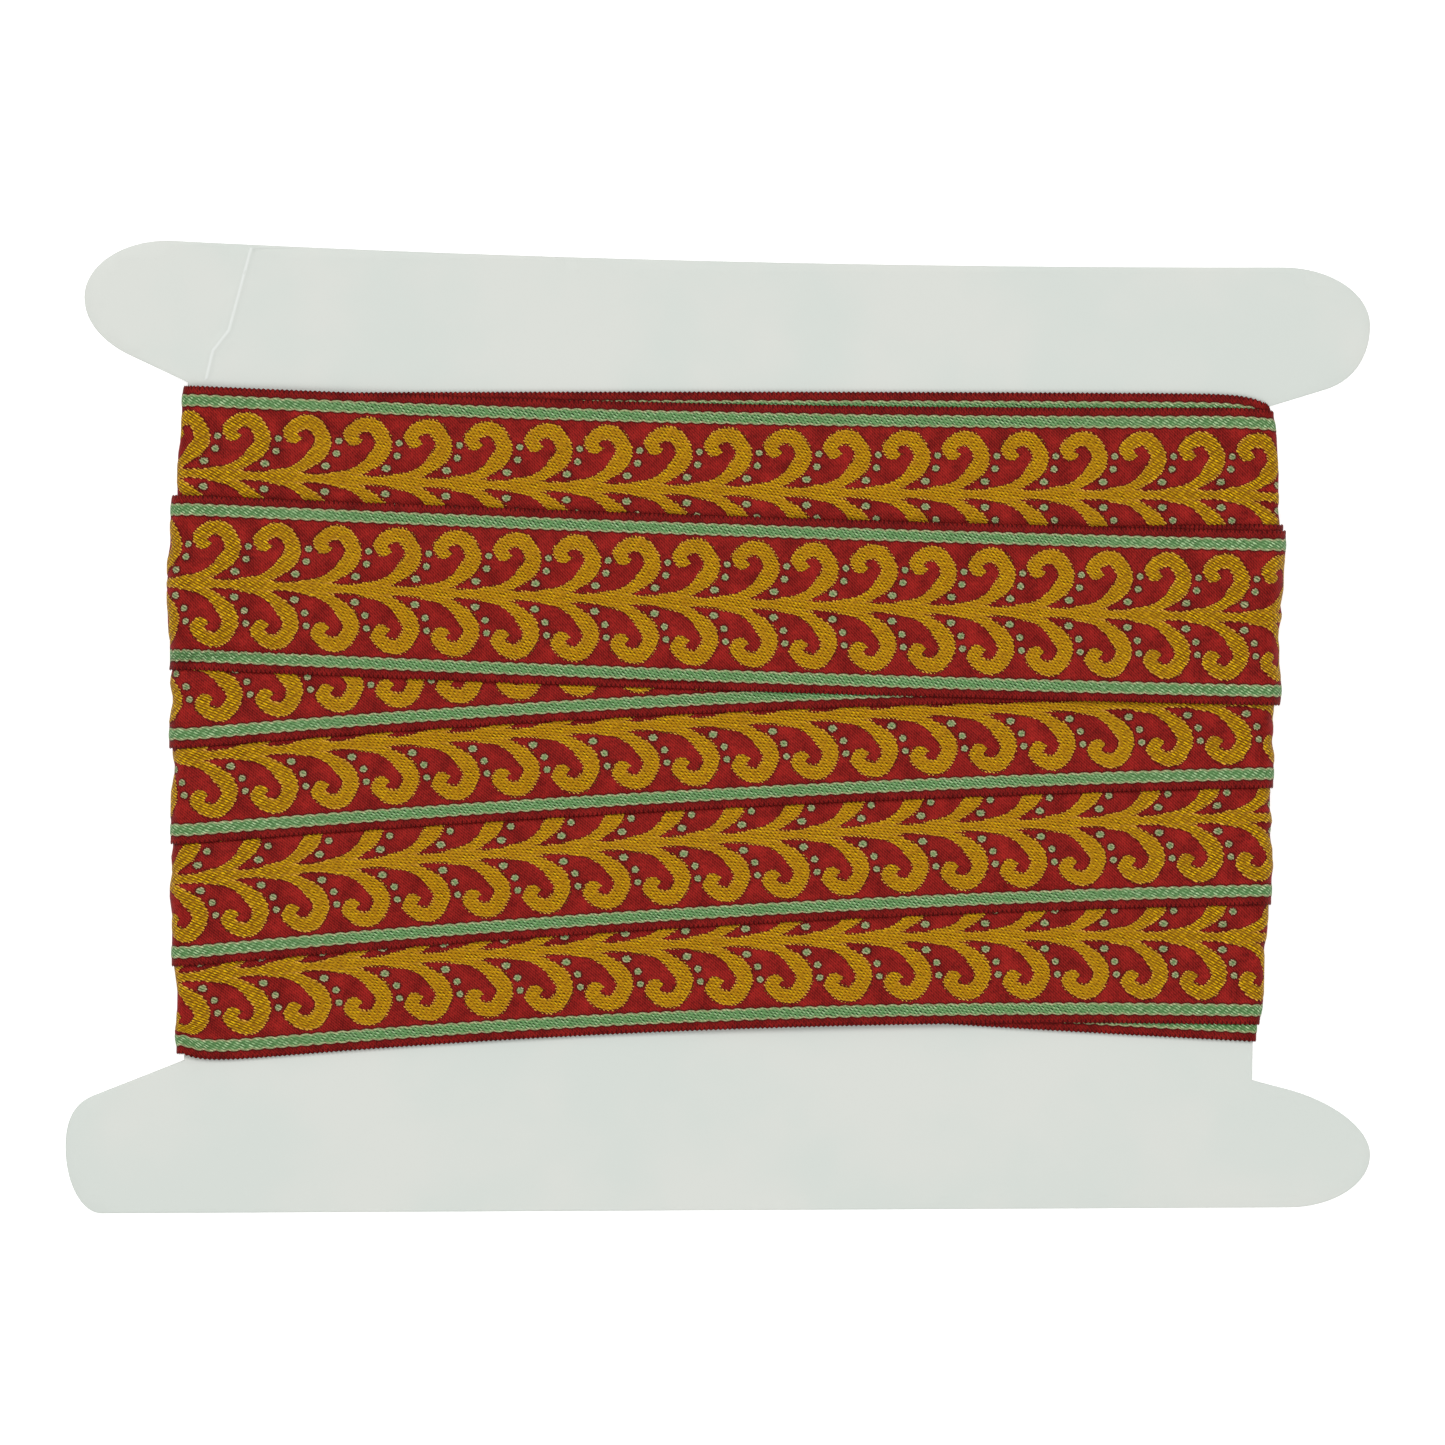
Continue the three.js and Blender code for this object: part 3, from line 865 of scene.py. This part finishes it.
def back_line(strap, next_left, next_slope, s):
    """The Y of a back strap's middle line, which goes on smoothly from one front strap to the next."""
    s2 = s * s
    s3 = s2 * s
    return (
        (2 * s3 - 3 * s2 + 1) * strap["right"]
        + (s3 - 2 * s2 + s) * slope_at_right(strap)
        + (3 * s2 - 2 * s3) * next_left
        + (s3 - s2) * next_slope
    )


def no_steeper(depths, fall, axis):
    """Raise depths where they fall faster than the cloth can follow."""
    ramp = fall * np.arange(depths.shape[axis])
    ramp = ramp[:, None] if axis == 0 else ramp[None, :]
    down = np.maximum.accumulate(depths + ramp, axis) - ramp
    back = np.flip(np.maximum.accumulate(np.flip(depths - ramp, axis), axis), axis) + ramp
    return np.maximum(down, back)


def blurred(depths, reach, axis):
    """Depths evened out over so many places to each side."""
    kernel = np.hanning(2 * reach + 3)[1:-1]
    kernel /= kernel.sum()
    padded = np.pad(depths, [(reach, reach) if a == axis else (0, 0) for a in (0, 1)], "edge")
    return np.apply_along_axis(lambda line: np.convolve(line, kernel, "valid"), axis, padded)


def lay_strap(depth_map, centres, start):
    """Lay a strap over a face. start is how deep its underside lies where it arrives, if that is known.
    Returns how deep its underside lies at each column, for each of SAMPLES across it."""
    under = np.stack([np.interp(c + SAMPLES, LEVELS, line) for c, line in zip(centres, depth_map)])
    under = no_steeper(under, STEEPEST_DRAPE * (SAMPLES[1] - SAMPLES[0]), 1)
    if start is not None:
        under[0] = start
    straight = under[0] + SHARES[:, None] * (under[-1] - under[0])
    under = np.maximum(under, straight)
    step = WAIST_WIDTH / (FIELD_COLUMNS - 1)
    under = no_steeper(under, STEEPEST_ALONG * step, 0)
    ends = under[[0, -1]].copy()
    soft = blurred(blurred(under, SOFTENED["along"], 0), SOFTENED["across"], 1)
    under = np.maximum(under, soft)
    under[[0, -1]] = ends
    top = under + TURN_THICKNESS
    for line, centre, depths in zip(depth_map, centres, top):
        first = np.searchsorted(LEVELS, centre - HALF)
        last = np.searchsorted(LEVELS, centre + HALF)
        laid = np.interp(LEVELS[first:last] - centre, SAMPLES, depths)
        line[first:last] = np.maximum(line[first:last], laid)
    return under


def share_edges():
    """Give both faces the deeper of their depths at each edge of the waist."""
    for front, back in ((0, -1), (-1, 0)):
        deepest = np.maximum(front_depth[front], back_depth[back])
        front_depth[front] = back_depth[back] = deepest


COLUMN_KEYS = ("centres", "under", "sides", "out", "up", "slope", "stand_off", "curl")


def stretch_of(kind, centres, **columns):
    """One stretch of the trim, a face or a bend, as its columns in the order of winding."""
    none = np.zeros(len(centres))
    return {"kind": kind, "centres": centres, "stand_off": none, "curl": none, **columns}


def face_stretch(kind, centres, under, facing, drop=0):
    """A stretch over a face. Its pattern doesn't lean with the drop."""
    run = WAIST_WIDTH * (SHARES[1] - SHARES[0])
    rise = np.gradient(centres + drop) / run
    slope = rise / np.sqrt(1 + rise * rise)
    sides = 2 * SHARES - 1 if facing > 0 else 1 - 2 * SHARES
    flat = np.zeros(FIELD_COLUMNS)
    return stretch_of(kind, centres, under=under, sides=sides, out=flat, up=flat + facing, slope=slope)


def bend_stretch(from_y, to_y, under, side, slope, columns, from_front, stand_off):
    """A stretch round an edge of the card, half a turn."""
    turned = np.linspace(math.pi / 2, -math.pi / 2, columns + 2)[1:-1]
    centres = from_y + (to_y - from_y) * (1 - np.sin(turned)) / 2
    turned = turned if from_front else -turned
    one = np.ones(columns)
    place = dict(sides=side * one, out=side * np.cos(turned), up=np.sin(turned))
    under = np.repeat(under[None], columns, 0)
    return stretch_of("bend", centres, under=under, slope=slope * one, stand_off=stand_off * one, **place)


def wind_trim():
    """Wind the whole length and return each turn as its stretches: bend, front, bend, back."""
    turns = []
    start = None
    for k, strap in enumerate(FRONT_STRAPS):
        columns = BEND_COLUMNS[DETAIL.get(k, COARSE)]
        centres = front_line(strap, SHARES)
        under = lay_strap(front_depth, centres, start)
        share_edges()
        front = face_stretch("front", centres, under, 1, late_drop(strap, SHARES))
        turn = []
        loose = float(k >= FIRST_LOOSE_TURN)
        if start is not None:
            y = strap["left"]
            bend = bend_stretch(y, y, under[0], -1, front["slope"][0], columns, False, loose)
            turn.append(bend)
            if k == CURL["turn"]:
                turns[-1][-1]["curl"] = np.exp((SHARES - 1) / CURL["run"])
                bend["curl"] = np.ones(columns)
                front["curl"] = np.exp(-SHARES / CURL["run"])
        turn.append(front)
        y = strap["right"]
        turn.append(bend_stretch(centres[-1], y, under[-1], 1, front["slope"][-1], columns, True, loose))

        is_last = k == len(FRONT_STRAPS) - 1
        following = LOOSE_END if is_last else FRONT_STRAPS[k + 1]
        next_slope = 0 if is_last else slope_at_left(following)
        centres = back_line(strap, following["left"], next_slope, SHARES)
        under = lay_strap(back_depth, centres, under[-1])
        share_edges()
        back = face_stretch("back", centres, under, -1)
        if is_last:
            kept = SHARES <= LOOSE_END["reach"]
            for key in COLUMN_KEYS:
                back[key] = back[key][kept]
        turn.append(back)
        start = under[-1]
        turns.append(turn)
    return turns


# From stretches to meshes

UNDERSIDE = 0.04  # what a strap stands clear of the one below it
GROUND = 0.28
RAISED = 0.1  # how far the vine, the dots and the stripes stand above the red ground
TOOTH = 0.1  # how far the loops of the selvage stand out, every other column
EASY_DEPTH = 1.0  # the back straps are pressed together from this depth on

# Between which distances inside its edge the vine, a dot or a stripe rises, and the dots' height
RISES = dict(gold=(-0.12, 0.3), dots=(-0.1, 0.25), stripe=(-0.1, 0.3))
DOT_HEIGHT = 0.8

# The distances from a strap's middle line at which its upper face has points, and its underside
FINE_HALF_ROWS = [
    0, 0.55, 0.95, 1.35, 1.75, 2.15, 2.65, 3.15, 3.6, 4.05, 4.55, 5.0, 5.45, 5.9,
    6.5, 7.1, 7.7, 8.2, 8.65, 9.05, 9.45, 9.8, 10.45, 11.1, 11.4, 11.9, 12.35, 12.5,
]  # fmt: skip
MEDIUM_HALF_ROWS = [
    0, 0.9, 1.8, 2.8, 3.8, 4.9, 6.0, 7.0, 8.0, 9.0, 9.5, 9.85, 10.45, 11.05, 11.4, 11.95, 12.35, 12.5,
]  # fmt: skip
COARSE_HALF_ROWS = [0, 3, 6, 9, 11, 12.3, 12.5]
HALF_ROWS = {FINE: FINE_HALF_ROWS, MEDIUM: MEDIUM_HALF_ROWS, COARSE: COARSE_HALF_ROWS}
UNDER_ROWS = np.array([6.5, 0, -6.5])


def pressing():
    """How the back straps are pressed together, so that the deepest one ends at the object's back."""
    span = back_depth.max() - EASY_DEPTH
    bend = (span - (CARD_BACK - EASY_DEPTH)) / span**2

    def pressed(depth):
        beyond = np.clip(depth - EASY_DEPTH, 0, None)
        return np.where(depth > EASY_DEPTH, EASY_DEPTH + beyond - bend * beyond**2, depth)

    return pressed


def middle_points(stretch, pressed):
    """The points of the strap's middle line, one for each column."""
    middle = stretch["under"][:, len(SAMPLES) // 2] + GROUND
    return np.hstack(place_points(stretch, middle[:, None], np.zeros((len(middle), 1)), pressed))


def place_points(stretch, depth, offset, pressed):
    """Where points lie that are so deep in the winding and so far from the strap's middle line."""
    drawn_in = stretch["curl"][:, None] * smoothstep(-offset, CURL["start"], CURL["full"]) * CURL["draws_in"]
    y = stretch["centres"][:, None] + offset + drawn_in
    depth = depth + drawn_in * CURL["rise"]
    sides, out, up = (stretch[key][:, None] for key in ("sides", "out", "up"))
    further = 0
    for extra in STAND_OFF:
        there = stretch["stand_off"][:, None] * (sides * extra["side"] > 0)
        further = further + there * extra["by"] * smoothstep(y, extra["above"], extra["full"])
    x = WAIST_SHIFT + WAIST_LEAN * y + sides * WAIST_WIDTH / 2 + out * (depth + EDGE_EASE + further)
    lying = np.where(up < 0, pressed(depth), depth)
    z = CARD_MIDDLE + up * (CARD_THICKNESS / 2 + lying)
    return x, y, z


def relief(u, v):
    """How high the pattern stands above the ground, from 0 to 1."""
    gold, dots, stripe = pattern(u, v)
    height = smoothstep(gold, *RISES["gold"])
    height = np.maximum(height, smoothstep(dots, *RISES["dots"]) * DOT_HEIGHT)
    return np.maximum(height, smoothstep(stripe, *RISES["stripe"]))


def thin_out(stretch, columns):
    """Keep only some columns of a face, the first and last among them."""
    count = len(stretch["centres"])
    wanted = max(2, round((columns - 1) * (count - 1) / (FIELD_COLUMNS - 1)) + 1)
    kept = np.round(np.linspace(0, count - 1, wanted)).astype(int)
    for key in COLUMN_KEYS:
        stretch[key] = stretch[key][kept]


def crown_place(strap, stretch):
    """Where in the pattern the strap's middle line is at each column, from its charted crown."""
    x = WAIST_SHIFT + WAIST_LEAN * stretch["centres"] + stretch["sides"] * WAIST_WIDTH / 2
    place = (x + PITCH_LEAN * x * x) * (1 + strap["tight"]) / DRAWN
    offset = strap["side"] * CROWN_HEIGHT
    seen_x = x + WAIST_LEAN * offset
    at_crown = np.interp(strap["crown"], seen_x, place + offset * (WAIST_LEAN + SKEW + stretch["slope"]))
    return place - at_crown


def place_pattern(turns, pressed):
    """Give every column its place along the pattern, so that the scrolls that show lie as charted."""
    run = 0.0
    last_point = None
    pending = []  # the hidden stretches since the last strap that shows
    anchor = 0.0
    anchor_length = 0.0
    for strap, turn in zip(FRONT_STRAPS, turns):
        for stretch in turn:
            points = middle_points(stretch, pressed)
            before = points[:1] if last_point is None else last_point
            steps = np.linalg.norm(np.diff(np.vstack([before, points]), axis=0), axis=1)
            last_point = points[-1:]
            stretch["length"] = run + np.cumsum(steps)
            run = stretch["length"][-1]
            if stretch["kind"] == "front" and "crown" in strap:
                place = crown_place(strap, stretch)
                free = anchor + stretch["length"][0] - anchor_length
                place = place + REPEAT * np.round((free - place[0]) / REPEAT)
                share = (place[0] - anchor) / (stretch["length"][0] - anchor_length)
                for hidden in pending:
                    hidden["place"] = anchor + (hidden["length"] - anchor_length) * share
                stretch["place"] = place
                anchor, anchor_length = place[-1], stretch["length"][-1]
                pending = []
            else:
                pending.append(stretch)
    for hidden in pending:
        hidden["place"] = anchor + hidden["length"] - anchor_length


def build_turn(name, turn, detail, material, pressed):
    half_rows = np.array(HALF_ROWS[detail])
    rows = np.concatenate([-half_rows[::-1], half_rows[1:]])
    joined = {}
    for key in (*COLUMN_KEYS, "length", "place"):
        joined[key] = np.concatenate([stretch[key] for stretch in turn])
    columns = len(joined["centres"])
    offsets = np.concatenate([rows, UNDER_ROWS])
    ring = len(offsets)
    offset = np.repeat(offsets[None], columns, 0)
    under = np.stack([np.interp(offsets, SAMPLES, line) for line in joined["under"]])

    place = joined["place"] - REPEAT * round(joined["place"][0] / REPEAT)
    u = place[:, None] + offset * (WAIST_LEAN * joined["up"] + joined["slope"])[:, None]
    v = offset * np.sqrt(1 - joined["slope"] ** 2)[:, None]
    depth = under + GROUND + RAISED * relief(u, v)
    top = len(rows)
    depth[:, top:] = under[:, top:] + UNDERSIDE
    for edge, outward in ((0, -1), (top - 1, 1)):
        depth[:, edge] = under[:, edge] + (UNDERSIDE + GROUND) / 2
        if detail != COARSE:
            teeth = np.where(np.arange(columns) % 2 == 0, 1, -1)
            offset[:, edge] += outward * TOOTH * teeth
    x, y, z = place_points(joined, depth, offset, pressed)
    points = np.stack([x, y, z], 2).reshape(-1, 3)

    c, r = np.meshgrid(np.arange(columns - 1), np.arange(ring), indexing="ij")
    following = (r + 1) % ring
    quads = np.stack([c * ring + r, (c + 1) * ring + r, (c + 1) * ring + following, c * ring + following], 2)
    caps = np.stack([np.arange(ring), (columns - 1) * ring + np.arange(ring)[::-1]])
    faces = [quads.reshape(-1, 4), caps]
    mesh = mesh_from(name, points, faces)
    corners = np.concatenate([f.ravel() for f in faces])
    add_uv(mesh, "TrimPlace", np.stack([u.ravel()[corners], v.ravel()[corners]], 1))
    add_bake_uv(mesh, joined["length"] - joined["length"][0], rows, ring)
    mesh.materials.append(material)
    piece = add_object(name, mesh)
    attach(piece, "root")
    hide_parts("wound_trim")
    return piece, joined["length"][-1] - joined["length"][0]


BAKE_ROWS = 3
BAKE_GAP = 0.8
BAKE_STRIP = 1.2
BAKE_MARGIN = 4
BAKE_START = 1
CAP_SCALE = 0.02  # the end faces are laid out small, beyond the rows
CAP_PLACES = dict(along=2, upper_edge=0.2, apart=1)


def add_bake_uv(mesh, length, rows, ring):
    """Lay a turn out flat for baking: its upper face in long rows, its underside as a strip above."""
    columns = len(length)
    row_height = TRIM_WIDTH + BAKE_STRIP + 2 * BAKE_GAP
    row_length = length[-1] / BAKE_ROWS
    size = max(row_height * BAKE_ROWS, row_length + BAKE_MARGIN)
    part = np.minimum((length[:-1] / row_length).astype(int), BAKE_ROWS - 1)
    top = len(rows)
    strip = TRIM_WIDTH + BAKE_GAP + np.linspace(0, BAKE_STRIP, ring - top + 2)
    c, r = np.meshgrid(np.arange(columns - 1), np.arange(ring), indexing="ij")
    along = np.stack([length[c], length[c + 1], length[c + 1], length[c]], 2)
    along = along - (part * row_length)[:, None, None] + BAKE_START
    across = np.append(rows, np.zeros(ring - top)) + HALF
    low = np.where(r < top - 1, across[r], strip[np.clip(r - top + 1, 0, None)])
    up_to = across[np.clip(r + 1, 0, ring - 1)]
    high = np.where(r < top - 1, up_to, strip[np.clip(r - top + 2, 0, None)])
    tall = np.stack([low, low, high, high], 2) + (part * row_height)[:, None, None]
    quads = np.stack([along, tall + BAKE_GAP / 2], 3).reshape(-1, 2)
    cap_along = (np.concatenate([rows, UNDER_ROWS]) + HALF) * CAP_SCALE + row_length + CAP_PLACES["along"]
    cap = np.stack([cap_along, np.where(np.arange(ring) < top, CAP_PLACES["upper_edge"], 0)], 1)
    layout = np.vstack([quads, cap, cap[::-1] + [0, CAP_PLACES["apart"]]])
    add_uv(mesh, "OFBake", layout / size)


def build_trim(material):
    """Build every turn as a piece of its own."""
    turns = wind_trim()
    pressed = pressing()
    for k, turn in enumerate(turns):
        for stretch in turn:
            if stretch["kind"] != "bend":
                thin_out(stretch, FACE_COLUMNS[DETAIL.get(k, COARSE)])
    place_pattern(turns, pressed)
    for k, turn in enumerate(turns):
        if k > 0:
            turn.insert(0, last_column(turns[k - 1][-1]))
        piece, length = build_turn(f"trim_turn_{k + 1:02d}", turn, DETAIL.get(k, COARSE), material, pressed)
        below = "winding_card_board" if k == 0 else f"trim_turn_{k:02d}"


def last_column(stretch):
    """The column at which the turn before ended, so that the next one starts there."""
    return dict(kind="seam", **{key: stretch[key][-1:] for key in (*COLUMN_KEYS, "length", "place")})


add_camera()
add_studio()
build_card(card_material())
build_trim(trim_material())
